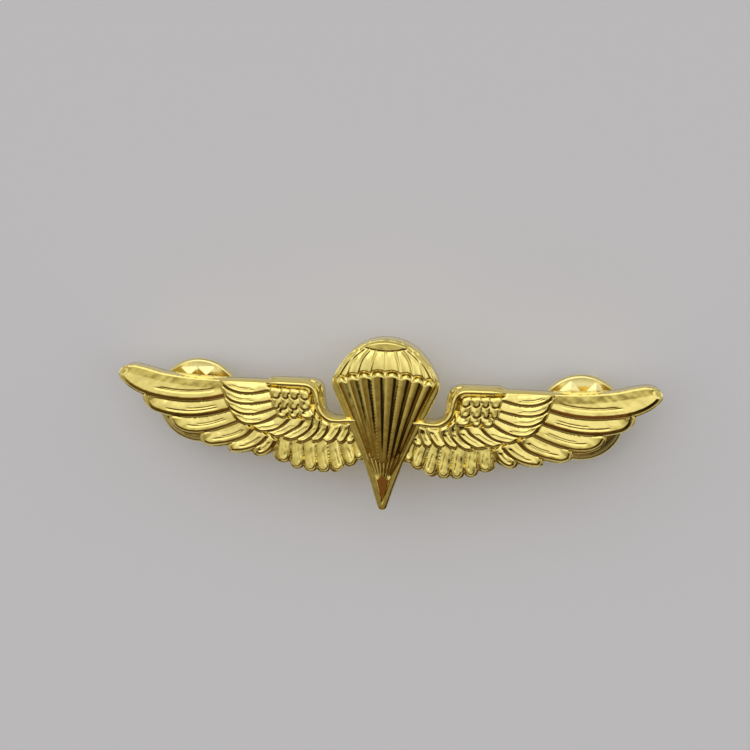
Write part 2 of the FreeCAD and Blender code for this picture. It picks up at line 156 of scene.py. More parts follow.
def notch(d, width):
    """A bell of height 1 at no distance, falling away over the width."""
    return np.exp(-(d / width) ** 2)


def unevenness(x, y, strength):
    """The faint waviness of a struck and plated surface: many small waves at odd angles."""
    seed, waves, shortest, longest = 7, 28, 0.5, 2.2
    chance = np.random.default_rng(seed)
    total = np.zeros(x.shape)
    for _ in range(waves):
        turn, phase = chance.uniform(0, 2 * np.pi, 2)
        length = chance.uniform(shortest, longest)
        along = (x * np.cos(turn) + y * np.sin(turn)) * 2 * np.pi / length
        total += length * np.sin(along + phase)
    return strength * total


# ---- relief: heights above the plate's face, on a square grid -------------------------

class Relief:
    """A height field over one outline, with each point's distance in from the rim."""

    def __init__(self, polygon, grid):
        self.grid = grid
        margin = 3 * grid
        low = polygon.min(axis=0) - margin
        high = polygon.max(axis=0) + margin
        self.xs = np.arange(low[0], high[0], grid)
        self.ys = np.arange(low[1], high[1], grid)
        self.x, self.y = np.meshgrid(self.xs, self.ys, indexing="ij")
        self.z = np.zeros(self.x.shape)
        self.outline = polygon
        loop = np.vstack([polygon, polygon[:1]])
        d, _ = nearest(loop, self.x, self.y)
        self.rim = np.where(inside(polygon, self.x, self.y), d, -d)

    def window(self, polygon, margin=0.0):
        """The part of the grid that a polygon reaches, as two slices."""
        low = polygon.min(axis=0) - margin
        high = polygon.max(axis=0) + margin
        i0, i1 = np.searchsorted(self.xs, [low[0], high[0]])
        j0, j1 = np.searchsorted(self.ys, [low[1], high[1]])
        return slice(i0, i1), slice(j0, j1)

    def blade(self, edge, closing, level, width, lean=0.2, radius=0.22, groove=0.1, shafts=(),
              crown=0.05, surface=None, bevel=0.42):
        """A feather whose bevelled free edge stands proud of what lies under it.

        Its face leans down away from that edge, or follows surface, measured from level. Each
        shaft line is (place across the width, start and end along the edge, depth).
        """
        line = smooth(edge)
        polygon = np.vstack([line, np.array(closing, float)])
        win = self.window(polygon)
        x, y, z = self.x[win], self.y[win], self.z[win]
        mask = inside(polygon, x, y)
        e, t = nearest(line, x, y)
        across = e / width
        if surface:
            top = level + surface(x, y)
        else:
            top = level - lean * across + crown * np.sin(np.pi * np.clip(across, 0, 1))
        for place, start, end, depth in shafts:
            window = ease((t - start) / SHAFT_FADE) * ease((end - t) / SHAFT_FADE)
            top -= depth * window * notch(e - place * width, SHAFT_W)
        top -= BEVEL_SLOPE * np.clip(bevel - e, 0, bevel)
        foot = z - groove
        new = foot + (top - foot) * shoulder(e, radius)
        self.z[win] = np.where(mask, new, z)

    def bead(self, line, half_width, level, height):
        """A rounded bar along a line, tapered towards the line's end."""
        path = smooth(line)
        win = self.window(path, 3 * half_width)
        x, y, z = self.x[win], self.y[win], self.z[win]
        d, t = nearest(path, x, y)
        end_width, widening = 0.35, 6
        taper = half_width * np.minimum(1, end_width + widening * (1 - t))
        u = d / taper
        top = level + height * np.sqrt(np.clip(1 - u * u, 0, 1))
        self.z[win] = np.where(u < 1, np.maximum(top, z), z)

    def finish(self, waves):
        """Rounds the outer edge over, softens every crease and adds the unevenness."""
        self.z += RIM_DROP * (shoulder(self.rim, RIM_R) - 1)
        reach = int(3 * SOFTEN / self.grid) + 2
        k = np.exp(-0.5 * (np.arange(-reach, reach + 1) * self.grid / SOFTEN) ** 2)
        k /= k.sum()
        pad = np.pad(self.z, reach, mode="edge")
        pad = np.apply_along_axis(lambda v: np.convolve(v, k, mode="valid"), 0, pad)
        self.z = np.apply_along_axis(lambda v: np.convolve(v, k, mode="valid"), 1, pad)
        self.z += unevenness(self.x, self.y, waves)
        self.z = np.minimum(self.z, RELIEF_TOP - TOP_CLEARANCE)


# ---- wing -----------------------------------------------------------------------------

def wing_outline():
    """The right wing: bar, step and leading edge above, the feathers' tips one by one below."""
    return joined(
        [(1.0, 0.6), (5.4, 0.55)],
        [(5.4, 0.55), (6.7, 0.6), (7.6, 1.3), (7.85, 2.5), (7.95, 3.7), (8.4, 4.8), (9.5, 5.3)],
        [(9.5, 5.3), (14.6, 5.3)],
        [(14.6, 5.3), (15.0, 5.2), (15.4, 4.95)],
        [(15.4, 4.95), (21.3, 4.9)],
        [(21.3, 4.9), (25, 5.0), (29, 5.42), (31.3, 5.98), (32.9, 6.27), (33.8, 6.2), (34.5, 5.85),
         (34.9, 5.35), (34.99, 4.85), (34.72, 4.3), (34.1, 3.65), (33.2, 2.98), (31.8, 2.3)],
        [(31.8, 2.3), (31.75, 1.7), (31.3, 0.9), (30.4, 0.25), (29.3, -0.1), (28.3, -0.35)],
        [(28.3, -0.35), (28.2, -1.1), (27.5, -1.95), (26.4, -2.55), (25.3, -2.8), (24.25, -2.85)],
        [(24.25, -2.85), (24.1, -3.5), (23.4, -4.0), (22.3, -4.2), (20.5, -3.95)],
        [(20.5, -3.95), (20.45, -4.5), (20.0, -4.8), (18.7, -4.85), (17.3, -4.6)],
        [(17.3, -4.6), (16.9, -5.1), (16.2, -5.2), (15.3, -4.95), (14.4, -4.4)],
        [(14.4, -4.4), (14.35, -5.2), (13.8, -5.75), (13.0, -5.9), (12.3, -5.7)],
        [(12.3, -5.7), (12.0, -6.35), (11.3, -6.65), (10.8, -6.55), (10.5, -6.3)],
        [(10.5, -6.3), (10.1, -6.8), (9.5, -6.95), (9.0, -6.85), (8.7, -6.6)],
        [(8.7, -6.6), (8.3, -6.9), (7.8, -6.98), (7.3, -6.85), (7.0, -6.5)],
        [(7.0, -6.5), (6.6, -6.8), (6.1, -6.8), (5.5, -6.5), (5.1, -5.8)],
        [(5.1, -5.8), (4.7, -6.0), (4.3, -6.0), (3.8, -5.75), (3.4, -5.1)],
        [(3.4, -5.1), (1.0, -5.0)],
    )


def hanging_row(r):
    """Short round-ended feathers below the coverts, from the parachute outwards."""
    row_y, root_half, rise, arch = -2.3, 0.7, 0.085, 0.13
    tops = [3.75, 5.25, 6.75, 8.2, 9.75, 11.35, 12.95]
    tips = [(3.3, -4.9, 0.76), (4.45, -5.72, 0.84), (6.1, -6.55, 0.9), (7.85, -6.75, 0.9),
            (9.55, -6.72, 0.88), (11.3, -6.42, 0.86), (13.1, -5.68, 0.88)]
    for top_x, (tx, ty, half) in zip(tops, tips):
        x0, x1 = top_x - root_half, top_x + root_half
        slant = (top_x - tx) / (row_y - ty)

        def arched(x, y):
            middle = tx + slant * (y - ty) - 0.2 * half
            return -rise * (y - ty) - arch * ((x - middle) / half) ** 2

        edge = [(x0, row_y), (0.4 * x0 + 0.6 * (tx - half), ty + 2.0), (tx - 0.94 * half, ty + 0.75),
                (tx - 0.4 * half, ty + 0.08), (tx + 0.3 * half, ty + 0.06),
                (tx + 0.86 * half, ty + 0.65), (0.3 * x1 + 0.7 * (tx + half), ty + 1.9), (x1, row_y)]
        r.blade(edge, [(top_x, row_y + 0.2)], 0.4, 0.85, radius=0.3, groove=0.12, bevel=0.14,
                surface=arched, shafts=((0.7, 0.12, 0.42, 0.05),))


def primaries(r):
    """The six long feathers, from the lowest and innermost to the longest one."""
    long_shaft = ((0.52, 0.1, 0.75, 0.07), (0.64, 0.12, 0.6, 0.05))
    r.blade([(14.0, -3.0), (14.7, -4.15), (15.5, -4.8), (16.3, -5.02), (16.9, -4.7), (17.0, -4.1)],
            [(16.8, -3.2), (15.2, -2.0)], 0.4, 1.3, shafts=long_shaft)
    r.blade([(15.0, -2.4), (16.0, -3.5), (17.5, -4.35), (19.0, -4.68), (20.0, -4.6), (20.3, -4.1)],
            [(19.6, -3.0), (17.0, -1.2)], 0.44, 1.4, shafts=long_shaft)
    r.blade([(17.0, -1.6), (18.0, -2.6), (19.5, -3.35), (21.2, -3.8), (22.9, -3.95), (23.8, -3.5),
             (24.0, -2.85)], [(23.2, -1.8), (19.0, -0.2)], 0.48, 1.7, shafts=long_shaft)
    r.blade([(19.0, -0.75), (21, -1.6), (23, -2.22), (25, -2.45), (26.5, -2.2), (27.6, -1.5),
             (28.05, -0.7)], [(27.5, 0.3), (19.6, 1.3)], 0.52, 1.9, lean=0.24, shafts=long_shaft)
    r.blade([(20.0, 0.7), (22, 0.12), (24, -0.3), (26, -0.45), (28, -0.32), (29.5, 0.0),
             (30.6, 0.45), (31.35, 1.3), (31.6, 2.1)], [(31.0, 3.0), (20.4, 3.3)],
            0.56, 2.1, lean=0.26, radius=0.24, bevel=0.62,
            shafts=((0.45, 0.1, 0.72, 0.09), (0.6, 0.1, 0.5, 0.05)))
    # the longest feather: a gently falling band along its top, the rest rising to its lower edge
    band = smooth([(20.5, 3.6), (24, 3.72), (28, 4.12), (31, 4.7), (33.6, 5.3), (35.0, 5.75)])

    def below_band(x, y):
        over = np.interp(x, band[:, 0], band[:, 1])
        return 0.12 * np.clip(over - y, 0, 2.4) - 0.035 * np.clip(y - over, 0, 1)

    r.blade([(20.8, 2.45), (23, 1.95), (25, 1.74), (27, 1.74), (29, 1.95), (31, 2.35), (32.5, 2.9),
             (33.6, 3.55), (34.4, 4.25), (34.78, 4.85), (34.65, 5.4), (34.2, 5.85)],
            [(34.4, 6.4), (32.8, 6.5), (31.3, 6.3), (29, 5.7), (25, 5.2), (21.3, 5.0), (20.6, 3.6)],
            0.5, 1.6, radius=0.24, surface=below_band, bevel=0.62,
            shafts=((0.82, 0.05, 0.62, 0.08), (0.94, 0.05, 0.58, 0.07)))


def coverts(r):
    """Twelve covering feathers, from the parachute outwards and then up to the leading edge."""
    fine = ((0.42, 0.25, 0.85, 0.05), (0.56, 0.3, 0.8, 0.05))
    feathers = [
        ([(3.4, -1.4), (3.6, -2.1), (4.0, -2.65), (4.5, -2.9)], [(4.9, -2.3), (4.3, -0.8)], 1.0),
        ([(4.15, 0.2), (4.3, -1.0), (4.8, -2.2), (5.3, -2.85), (5.6, -2.95)],
         [(6.2, -2.3), (5.4, 0.2)], 1.2),
        ([(5.3, 0.0), (5.5, -1.0), (6.0, -1.95), (6.7, -2.75), (7.2, -2.95)],
         [(8.0, -2.3), (7.2, 0.2)], 1.35),
        ([(6.95, -0.1), (7.1, -1.0), (7.6, -2.0), (8.4, -2.75), (9.2, -3.02)],
         [(9.5, -2.1), (8.3, 0.5)], 1.3),
        ([(8.05, 0.1), (8.3, -1.0), (9.0, -2.0), (10.0, -2.8), (10.8, -3.1), (11.4, -3.02)],
         [(11.0, -1.9), (9.2, 0.8)], 1.3),
        ([(9.0, 0.5), (9.2, -0.75), (10.0, -1.7), (11.0, -2.4), (12.2, -2.82), (13.2, -2.6)],
         [(12.7, -1.3), (10.4, 0.8)], 1.35),
        ([(10.2, 0.1), (10.9, -0.9), (12.0, -1.6), (13.0, -2.2), (14.1, -2.47), (14.8, -2.3),
          (15.3, -1.9)], [(14.8, -0.8), (12.4, 0.6)], 1.3),
        ([(12.1, 0.1), (13.0, -0.85), (14.0, -1.5), (15.0, -1.8), (16.1, -1.87), (16.9, -1.55),
          (17.35, -1.0)], [(17.0, 0.2), (13.9, 0.9)], 1.3),
        ([(13.85, 0.4), (15.0, -0.35), (16.2, -0.82), (17.5, -1.0), (18.5, -0.85), (19.35, -0.3),
          (20.1, 0.75), (20.3, 1.3)], [(19.6, 1.6), (14.1, 1.6)], 1.35),
        ([(14.2, 1.25), (15.5, 0.75), (17.0, 0.36), (18.5, 0.36), (19.5, 0.7), (20.35, 1.3),
          (20.85, 2.2), (20.95, 2.9)], [(20.2, 3.3), (14.6, 2.6)], 1.35),
        ([(14.65, 2.2), (16.0, 1.88), (17.5, 1.7), (19.0, 1.75), (20.2, 2.15), (20.95, 2.85),
          (21.3, 3.7), (21.4, 4.3)], [(20.6, 4.6), (14.9, 4.0)], 1.35),
        ([(14.9, 3.62), (16.0, 3.3), (17.5, 3.05), (19.0, 3.12), (20.4, 3.58), (21.2, 4.15),
          (21.45, 4.7)], [(21.4, 4.8), (14.8, 4.8)], 1.5),
    ]
    lowest, step = 0.6, 0.02
    for i, (edge, closing, width) in enumerate(feathers):
        r.blade(edge, closing, lowest + step * i, width, lean=0.24, groove=0.12, shafts=fine)


def scales(r):
    """Small round-cornered cells on a raised bed, lowest row first, each over the one further in."""
    bed = (r.x > 8.4) & (r.x < 14.95) & (r.y > 0.4) & (r.y < 4.9)
    r.z = np.where(bed, np.maximum(r.z, 0.56), r.z)
    highest, tuck = 4.42, 0.5
    rows = [
        (1.45, 0.22, [9.1, 11.1, 12.5, 14.05]),
        (2.85, 1.32, [9.55, 11.1, 12.5, 13.5, 14.65]),
        (4.3, 2.68, [9.65, 11.1, 12.35, 13.45, 14.9]),
    ]
    for top, bottom, edges in rows:
        for x0, x1 in zip(edges, edges[1:]):
            w, h = x1 - x0, top - bottom
            tucked = min(top + tuck, highest)
            edge = [(x0 - 0.04, bottom + 0.42 * h), (x0 + 0.1 * w, bottom + 0.12 * h),
                    (x0 + 0.42 * w, bottom), (x0 + 0.8 * w, bottom + 0.1 * h),
                    (x0 + 0.99 * w, bottom + 0.45 * h), (x0 + 1.02 * w, tucked)]
            r.blade(edge, [(x0 - 0.05, tucked)], 0.92, h, lean=0.26, radius=0.2, groove=0.04, bevel=0.3,
                    shafts=((0.5, 0.3, 0.7, 0.05),))


def leading_edge(r):
    """A ditch behind a rounded bar, both bent round the scales; the ditch deepens at the bend."""
    ditch = smooth([(4.6, 0.05), (6.0, -0.2), (7.2, -0.15), (8.3, 0.45), (9.1, 1.4), (9.4, 2.8),
                    (9.75, 4.0), (10.4, 4.33), (12.0, 4.4), (14.9, 4.5)])
    d, t = nearest(ditch, r.x, r.y)
    bend = ease((t - 0.3) / 0.15)
    r.z -= (0.12 + 0.2 * bend) * notch(d, 0.2 + 0.14 * bend)
    r.bead([(3.9, 0.5), (5, 0.38), (6, 0.25), (7, 0.32), (8, 0.95), (8.55, 1.8), (8.75, 2.7),
            (8.95, 3.6), (9.3, 4.3), (10.0, 4.7), (11, 4.78), (13, 4.8), (15.2, 4.85)],
           0.4, 0.75, 0.4)


def wing_relief():
    """The right wing's relief, each part laid over the ones before it."""
    r = Relief(wing_outline(), WING_GRID)
    r.z += 0.02
    hanging_row(r)
    primaries(r)
    coverts(r)
    scales(r)
    leading_edge(r)
    r.finish(WING_WAVES)
    return r


# ---- parachute ------------------------------------------------------------------------

def parachute_outline():
    """The canopy's rim above, then the risers' straight sides drawn in to the spike."""
    right_rim = [(0.0, 11.1), (2.0, 10.8), (3.7, 9.95), (5.1, 8.6), (6.1, 7.15), (6.75, 5.8),
                 (6.9, 5.0), (6.4, 3.6)]
    left_rim = [(-x, y) for x, y in reversed(right_rim)]
    return joined(
        left_rim[:-1] + right_rim,
        [(6.4, 3.6), (2.55, -5.0)],
        [(2.55, -5.0), (1.45, -8.2)],
        [(1.45, -8.2), (0.65, -10.8)],
        [(0.65, -10.8), (0.4, -11.32), (0.0, -11.5), (-0.4, -11.32), (-0.65, -10.8)],
        [(-0.65, -10.8), (-1.45, -8.2)],
        [(-1.45, -8.2), (-2.55, -5.0)],
        [(-2.55, -5.0), (-6.4, 3.6)],
    )


APEX_Y = -10.7           # the risers are drawn to this point
FLANGE = 0.55            # the parachute's flange stands this much above the wings' plate
RIB_EDGES = [0.0, 6.0, 11.6, 16.9, 21.7]      # degrees from the middle, on either side
SKIRT_EASE = 0.25        # how far in from each cusp a scallop is shaped
SCALLOP = 0.26           # rise of each scallop
SKIRT = [(0.0, 6.95), (1.95, 6.75), (3.6, 6.5), (5.05, 6.05), (6.35, 5.75)]


def skirt_line():
    """The scalloped lower edge of the canopy, from the left foot to the right one."""
    right = []
    for (x0, y0), (x1, y1) in zip(SKIRT, SKIRT[1:]):
        xm, ym = (x0 + x1) / 2, (y0 + y1) / 2 + SCALLOP
        inner_x = x0 + SKIRT_EASE * (x1 - x0)
        outer_x = x1 - SKIRT_EASE * (x1 - x0)
        right += [smooth([(x0, y0), (inner_x, 0.6 * ym + 0.4 * y0), (xm, ym),
                          (outer_x, 0.6 * ym + 0.4 * y1), (x1, y1)])]
    right = np.vstack(right)
    left = right[::-1] * [-1, 1]
    return without_repeats(np.vstack([left, right]))


def risers(r, skirt):
    """A fan of eight rounded ribs drawn to one point, ending in a flat-faced spike."""
    x, y = r.x, r.y
    angle = np.degrees(np.arctan2(x, np.maximum(y - APEX_Y, 1e-3)))
    reach = np.hypot(x, y - APEX_Y)
    fan_half = RIB_EDGES[-1]
    # the fan narrows towards the spike
    limit = np.interp(y, [-10.7, -7.5, -5.0, 5.0], [15.0, 15.0, 19.3, fan_half])
    a = np.abs(angle) * fan_half / limit
    rib = np.clip(np.searchsorted(RIB_EDGES, a, side="right") - 1, 0, len(RIB_EDGES) - 2)
    lows, highs = np.array(RIB_EDGES)[rib], np.array(RIB_EDGES)[rib + 1]
    across = (a - lows) / (highs - lows)
    half_width = reach * np.radians(highs - lows) / 2

    # each rib's upper end is rounded off below the skirt
    head_length = 0.75
    d_skirt, _ = nearest(skirt, x, y)
    under = np.interp(x, skirt[:, 0], skirt[:, 1]) > y
    head = np.where(under, 1 - np.clip(d_skirt / head_length, 0, 1), 1)
    swell = np.sqrt(np.clip(1 - (2 * across - 1) ** 2 - head ** 2, 0, 1))
    bed = 0.6 + 0.05 * np.clip(y - APEX_Y, 0, 17.5) - 0.3 * (a / fan_half) ** 2
    ribs = bed + 0.4 * np.minimum(half_width, 1.0) * (swell - 0.4) - 0.18 * head ** 2

    # fine raised lines between the ribs, and canvas grain on the outer ones
    line_height, line_width, least_rib = 0.07, 0.1, 0.3
    between = np.minimum(across, 1 - across) * 2 * half_width
    ribs += line_height * notch(between, line_width) * (half_width > least_rib)
    grain_height, grain_pitch = 0.02, 0.34
    grain = np.sin((reach - 0.6 * a) * 2 * np.pi / grain_pitch)
    ribs += grain_height * grain * ease((a - 8) / 6) * ease((y + 4) / 4)

    # the spike's face rises evenly from the point
    facet = ease((-6.2 - y - 0.5 * np.abs(x)) / 0.9)
    spike = 0.45 + 0.1 * (y - APEX_Y)
    ribs = ribs * (1 - facet) + spike * facet
    side = (fan_half - a) * np.radians(1) * reach
    level = r.z + (ribs - r.z) * shoulder(side, 0.2)
    r.z = np.where((a < fan_half) & (y > APEX_Y), level, r.z)


def canopy(r, skirt):
    """The dome above the skirt, with its gore seams and the vent at its crown."""
    x, y = r.x, r.y
    rim = [(0.0, 10.88), (1.95, 10.58), (3.58, 9.75), (4.93, 8.45), (5.9, 7.0), (6.4, 5.75)]
    rim_line = smooth([(-px, py) for px, py in reversed(rim)][:-1] + rim)
    over = inside(np.vstack([rim_line, skirt[::-1]]), x, y)
    d_rim, _ = nearest(rim_line, x, y)
    d_skirt, _ = nearest(skirt, x, y)
    middle_y, radius_x, radius_y, foot_z, height = 5.4, 7.1, 6.1, 0.5, 1.38

    def dome_at(py):
        q = 1 - (x / radius_x) ** 2 - ((py - middle_y) / radius_y) ** 2
        return foot_z + height * np.sqrt(np.clip(q, 0, 1))

    dome = dome_at(np.maximum(y, middle_y))
    # gore seams: raised lines in shallow hollows, from the vent to the cusps
    seams = [
        [(0.0, 10.05), (0.0, 6.95)],
        [(1.15, 9.75), (1.6, 8.4), (1.95, 6.8)],
        [(2.0, 9.85), (2.95, 8.6), (3.6, 6.55)],
        [(2.75, 9.95), (4.2, 8.5), (5.05, 6.1)],
        [(3.5, 9.6), (5.0, 7.9), (5.95, 6.3)],
    ]
    for seam in seams:
        d, _ = nearest(smooth(seam), np.abs(x), y)
        dome = dome + 0.12 * notch(d, 0.15) - 0.08 * notch(d, 0.45)
    # the vent: a crescent, nearly level up the badge, behind a fine groove
    vent = smooth([(-3.3, 10.2), (-2.3, 9.88), (-1.1, 9.66), (0.0, 9.6), (1.1, 9.66), (2.3, 9.88),
                   (3.3, 10.2)])
    vent_y = np.interp(x, vent[:, 0], vent[:, 1])
    near_crown = np.abs(x) < 3.2
    level = dome_at(vent_y) - 0.02 * (y - vent_y)
    dome = np.where((y > vent_y) & near_crown, level, dome)
    d_vent, _ = nearest(vent, x, y)
    dome = dome - 0.06 * notch(d_vent, 0.08) * near_crown
    edge = np.minimum(d_rim / 0.24, d_skirt / 0.25)
    foot = r.z - 0.02
    r.z = np.where(over, foot + (dome - foot) * shoulder(edge, 1.0), r.z)


def parachute_relief():
    """The parachute's relief: flange, risers, then the canopy over their upper ends."""
    r = Relief(parachute_outline(), CANOPY_GRID)
    r.z += FLANGE
    skirt = skirt_line()
    risers(r, skirt)
    canopy(r, skirt)
    r.finish(CANOPY_WAVES)
    return r


# ---- meshes ---------------------------------------------------------------------------

def spread_along(outline, x, y):
    """Moves a ring of points onto the outline and evens out their spacing."""
    closed = np.vstack([outline, outline[:1]])
    starts = closed[:-1]
    steps = closed[1:] - starts
    lengths = np.linalg.norm(steps, axis=1)
    marks = np.r_[0, np.cumsum(lengths)]
    whole = marks[-1]
    rel_x, rel_y = x[:, None] - starts[:, 0], y[:, None] - starts[:, 1]
    t = np.clip((rel_x * steps[:, 0] + rel_y * steps[:, 1]) / lengths ** 2, 0, 1)
    gaps = (rel_x - t * steps[:, 0]) ** 2 + (rel_y - t * steps[:, 1]) ** 2
    best = gaps.argmin(axis=1)
    place = marks[best] + t[np.arange(len(x)), best] * lengths[best]

    def shortest(way_round):
        return (way_round + whole / 2) % whole - whole / 2

    way = 1 if np.sum(shortest(np.diff(place))) > 0 else -1
    rounds, longest_gap = 3, 1.0
    for _ in range(rounds):
        ahead = shortest(np.roll(place, -1) - place)
        behind = shortest(np.roll(place, 1) - place)
        place = place + (ahead + behind) / 3 * (way * ahead < longest_gap)
    place %= whole
    return np.interp(place, marks, closed[:, 0]), np.interp(place, marks, closed[:, 1])


def top_faces(keep):
    """The grid points used, and a face for each cell with three or more corners kept."""
    a, b, c, d = keep[:-1, :-1], keep[1:, :-1], keep[1:, 1:], keep[:-1, 1:]
    count = a.astype(int) + b + c + d
    cells = []
    for i, j in zip(*np.nonzero(count >= 3)):
        corners = [(i, j), (i + 1, j), (i + 1, j + 1), (i, j + 1)]
        cells.append([k for k in corners if keep[k]])
    used = sorted({k for cell in cells for k in cell})
    number = {k: n for n, k in enumerate(used)}
    return used, [[number[k] for k in cell] for cell in cells]


def border_loop(faces):
    """The longest ring of edges that only one face has."""
    edges = dict.fromkeys((p, q) for f in faces for p, q in zip(f, f[1:] + f[:1]))
    border = {p: q for p, q in edges if (q, p) not in edges}
    loops, left = [], set(border)
    while left:
        loop, p = [], min(left)
        while p in left:
            left.discard(p)
            loop.append(p)
            p = border[p]
        loops.append(loop)
    return max(loops, key=len)


def mesh_from_relief(relief, pockets, back_z):
    """A closed solid: the relief on top, upright walls round its outline and a flat back."""
    # points just outside the outline are used too, and then the whole border moves onto it
    used, faces = top_faces(relief.rim > -0.3 * relief.grid)
    rows, cols = np.array(used).T
    px, py = relief.x[rows, cols], relief.y[rows, cols]
    pz = relief.z[rows, cols]
    loop = border_loop(faces)
    px[loop], py[loop] = spread_along(relief.outline, px[loop], py[loop])
    rim_z, spread = pz[loop], 4
    pz[loop] = sum(np.roll(rim_z, k) for k in range(-spread, spread + 1)) / (2 * spread + 1)
    verts = [(u, v, FACE_Z + w) for u, v, w in zip(px, py, pz)]

    # the wall goes down ring by ring, and the last two round off the back's edge
    around = np.stack([px[loop], py[loop]], axis=1)
    ahead = np.roll(around, -3, axis=0) - np.roll(around, 3, axis=0)
    outward = np.stack([ahead[:, 1], -ahead[:, 0]], axis=1)
    outward /= np.maximum(np.linalg.norm(outward, axis=1), 1e-9)[:, None]
    ring, n = loop, len(loop)
    for z, grow in ((FACE_Z - WALL_DEPTH, 0.0), (back_z + 0.12, 0.0), (back_z + 0.035, -0.035),
                    (back_z, -0.12)):
        lower = list(range(len(verts), len(verts) + n))
        verts += [(u, v, z) for u, v in around + outward * grow]
        faces += [[ring[(k + 1) % n], ring[k], lower[k], lower[(k + 1) % n]] for k in range(n)]
        ring = lower

    # the back, with a round pocket for each post's head
    borders = [ring]
    for cx, cy, radius, depth in pockets:
        turn = np.linspace(0, 2 * math.pi, POCKET_SIDES, endpoint=False)
        circle = [(cx + radius * math.cos(t), cy + radius * math.sin(t)) for t in turn]
        mouth = list(range(len(verts), len(verts) + POCKET_SIDES))
        verts += [(u, v, back_z) for u, v in circle]
        floor = list(range(len(verts), len(verts) + POCKET_SIDES))
        verts += [(u, v, BACK_Z + depth) for u, v in circle]
        faces += [[mouth[k], floor[k], floor[(k + 1) % POCKET_SIDES], mouth[(k + 1) % POCKET_SIDES]]
                  for k in range(POCKET_SIDES)]
        faces.append(floor[::-1])
        borders.append(mouth[::-1])
    flat = [p for border in borders for p in border]
    plane = [[Vector((verts[p][0], verts[p][1], 0)) for p in border] for border in borders]
    for triangle in tessellate_polygon(plane):
        corners = [flat[k] for k in triangle]
        p, q, s = [verts[k][:2] for k in corners]
        turn = (q[0] - p[0]) * (s[1] - p[1]) - (q[1] - p[1]) * (s[0] - p[0])
        faces.append(corners if turn < 0 else corners[::-1])
    return verts, faces


def add_mesh(name, verts, faces, material, mirror=False):
    """Makes the object in metres, moved from the drawing's origin to the part's."""
    side = -1 if mirror else 1
    placed = [(side * x * MM, (y + DRAWING_Y) * MM, z * MM) for x, y, z in verts]
    mesh = bpy.data.meshes.new(name)
    mesh.from_pydata(placed, [], [f[::-1] for f in faces] if mirror else faces)
    mesh.validate()
    mesh.update()
    mesh.shade_smooth()
    mesh.set_sharp_from_angle(angle=math.radians(SHARP_DEG))
    for face in mesh.polygons:
        if face.normal.z < FLAT_DOWN:
            face.use_smooth = False
    mesh.materials.append(material)
    obj = bpy.data.objects.new(name, mesh)
    bpy.context.scene.collection.objects.link(obj)
    return obj


# ---- materials ------------------------------------------------------------------------

def metal(name, colour, roughness, grain_scale, grain, worn):
    """Bare or plated metal: cloudy colour, uneven polish and a faint surface ripple.

    worn is how bright the dullest clouds are, as a part of the colour.
    """
    mat = bpy.data.materials.new(name)
    mat.use_nodes = True
    nodes, links = mat.node_tree.nodes, mat.node_tree.links
    shader = nodes["Principled BSDF"]
    shader.inputs["Metallic"].default_value = 1.0
    place = nodes.new("ShaderNodeTexCoord")
    cloud = nodes.new("ShaderNodeTexNoise")
    cloud.inputs["Scale"].default_value = grain_scale
    cloud.inputs["Detail"].default_value = 4.0
    links.new(place.outputs["Object"], cloud.inputs["Vector"])
    tint = nodes.new("ShaderNodeValToRGB")
    tint.color_ramp.elements[0].position = 0.35
    tint.color_ramp.elements[0].color = (*[c * worn for c in colour], 1)
    tint.color_ramp.elements[1].position = 0.65
    tint.color_ramp.elements[1].color = (*colour, 1)
    links.new(cloud.outputs["Fac"], tint.inputs["Fac"])
    links.new(tint.outputs["Color"], shader.inputs["Base Color"])
    polish = nodes.new("ShaderNodeMapRange")
    polish.inputs["To Min"].default_value = roughness * 0.8
    polish.inputs["To Max"].default_value = roughness * 1.35
    links.new(cloud.outputs["Fac"], polish.inputs["Value"])
    links.new(polish.outputs["Result"], shader.inputs["Roughness"])
    ripple = nodes.new("ShaderNodeTexNoise")
    ripple.inputs["Scale"].default_value = grain_scale * 6
    ripple.inputs["Detail"].default_value = 3.0
    links.new(place.outputs["Object"], ripple.inputs["Vector"])
    bump = nodes.new("ShaderNodeBump")
    bump.inputs["Strength"].default_value = grain
    bump.inputs["Distance"].default_value = 0.00002
    links.new(ripple.outputs["Fac"], bump.inputs["Height"])
    links.new(bump.outputs["Normal"], shader.inputs["Normal"])
    return mat


def floor_material():
    """Pale, matt and plain."""
    mat = bpy.data.materials.new("pale_floor")
    mat.use_nodes = True
    shader = mat.node_tree.nodes["Principled BSDF"]
    shader.inputs["Roughness"].default_value = 0.9
    shader.inputs["Specular IOR Level"].default_value = 0.1
    shader.inputs["Base Color"].default_value = (0.89, 0.89, 0.88, 1)
    return mat


BADGE_GOLD = metal("badge_gold", (0.96, 0.79, 0.23), 0.11, 320, 0.3, 0.95)
CLUTCH_GOLD = metal("clutch_gold", (0.96, 0.83, 0.33), 0.18, 500, 0.3, 0.93)
SOLDER = metal("solder_grey", (0.55, 0.54, 0.5), 0.4, 900, 0.6, 0.8)
SPRING = metal("spring_wire", (0.72, 0.72, 0.72), 0.22, 900, 0.3, 0.85)


# ---- the object -----------------------------------------------------------------------

